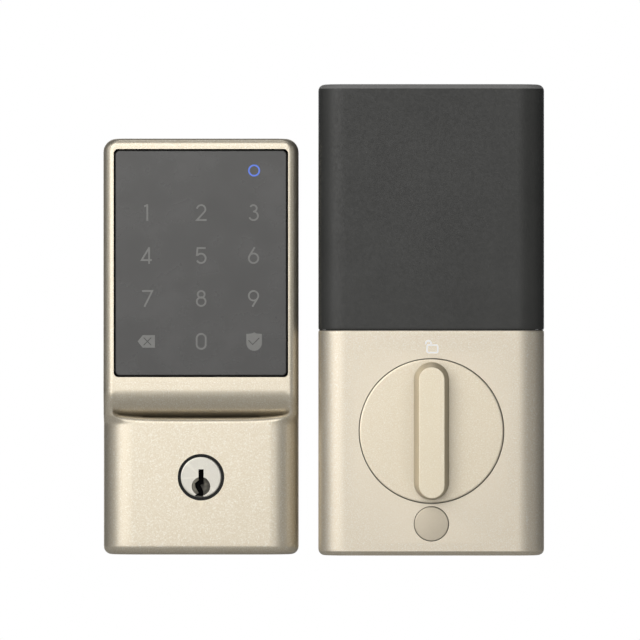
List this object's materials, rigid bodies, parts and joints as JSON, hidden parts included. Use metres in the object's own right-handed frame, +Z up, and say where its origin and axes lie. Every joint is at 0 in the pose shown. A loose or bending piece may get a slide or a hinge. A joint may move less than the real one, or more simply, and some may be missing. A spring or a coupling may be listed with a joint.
{
  "type": "keypad smart lock",
  "caption": "Keypad smart lock: an outside unit with a touch keypad and key cylinder, and an inside unit with thumbturn, motor drive and sliding battery cover.",
  "frame": {"origin": "centre of the two threaded posts, on the key cylinder's axis, in the plane of the door face", "axes": "+Z up, -Y out of the fronts of both units, +X to the right as seen from the front"},
  "size_m": [0.1624, 0.105, 0.1733],
  "materials": {
    "nickel": "satin champagne nickel, fine sparkle",
    "plug_metal": "fine turned nickel",
    "button_metal": "smooth satin nickel",
    "glass": "dark grey back-painted glass, satin gloss",
    "black_plastic": "fine matt black",
    "dark_plastic": "moulded, matt",
    "rubber": "soft black rubber",
    "light_plastic": "white, diffusing",
    "ring_light": "clear light pipe, lit blue",
    "board": "green solder mask",
    "steel": "zinc-plated, satin",
    "brass": "turned, satin",
    "cell_wrap": "printed foil wrap, plain"
  },
  "bodies": {
    "root": {"keypad_housing": "nickel", "touch_glass": "glass", "glass_gasket": "rubber", "numeral_film": "dark_plastic", "light_guide": "light_plastic", "status_ring": "ring_light", "touch_board": "board", "touch_board_screws": "steel", "keypad_back_plate": "steel", "back_plate_screws": "steel", "mounting_posts": "brass", "door_gasket": "rubber", "cable_gland": "rubber", "cylinder_body": "steel", "cylinder_screws": "steel", "cylinder_seal": "rubber", "driver_pins": "steel", "pin_springs": "brass", "pin_chamber_cap": "brass", "mounting_plate": "steel", "chassis": "dark_plastic", "chassis_posts": "dark_plastic", "lower_housing": "nickel", "housing_screws": "steel", "battery_tray": "dark_plastic", "battery_cells": "cell_wrap", "battery_springs": "steel", "battery_contacts": "steel", "main_board": "board", "main_board_screws": "steel", "cable_socket": "light_plastic", "drive_motor": "steel", "idler_axle": "steel", "gearbox_cover": "dark_plastic", "gearbox_screws": "steel", "turn_bush": "light_plastic", "button_spring": "steel", "button_switch": "steel"},
    "key_plug": {"cylinder_plug": "plug_metal", "key_pins": "brass", "plug_retainer": "steel", "tailpiece": "steel"},
    "turn": {"spindle_hub": "steel", "thumbturn_disc": "nickel", "thumbturn_grip": "nickel", "grip_screws": "steel", "output_gear": "brass"},
    "idler": {"idler_gear": "brass"},
    "pinion": {"motor_pinion": "brass"},
    "cover": {"battery_cover": "black_plastic"},
    "button": {"set_button": "button_metal"}
  },
  "joints": [
    {"name": "key_turn", "type": "hinge", "parent": "root", "child": "key_plug", "pos_m": [0, 0, 0], "axis": [0, 1, 0], "range_deg": [-90, 90]},
    {"name": "thumbturn", "type": "hinge", "parent": "root", "child": "turn", "pos_m": [0.08485, 0, 0.0172], "axis": [0, 1, 0], "range_deg": [-90, 90]},
    {"name": "idler_spin", "type": "hinge", "parent": "root", "child": "idler", "pos_m": [0.10078, 0, 0.03057], "axis": [0, 1, 0], "range_deg": [-301, 301]},
    {"name": "motor_spin", "type": "hinge", "parent": "root", "child": "pinion", "pos_m": [0.10204, 0, 0.0425], "axis": [0, 1, 0], "range_deg": [-901, 901]},
    {"name": "cover_slide", "type": "slide", "parent": "root", "child": "cover", "axis": [0, 0, 1], "range_m": [0, 0.014]},
    {"name": "button_press", "type": "slide", "parent": "root", "child": "button", "axis": [0, 1, 0], "range_m": [0, 0.001], "stiffness_N_per_m": 800, "springref_m": -0.0008, "deforming": ["button_spring"]}
  ],
  "couplings": [
    {"joint": "idler_spin", "follows": "thumbturn", "ratio": -3.3333},
    {"joint": "motor_spin", "follows": "thumbturn", "ratio": 10}
  ]
}
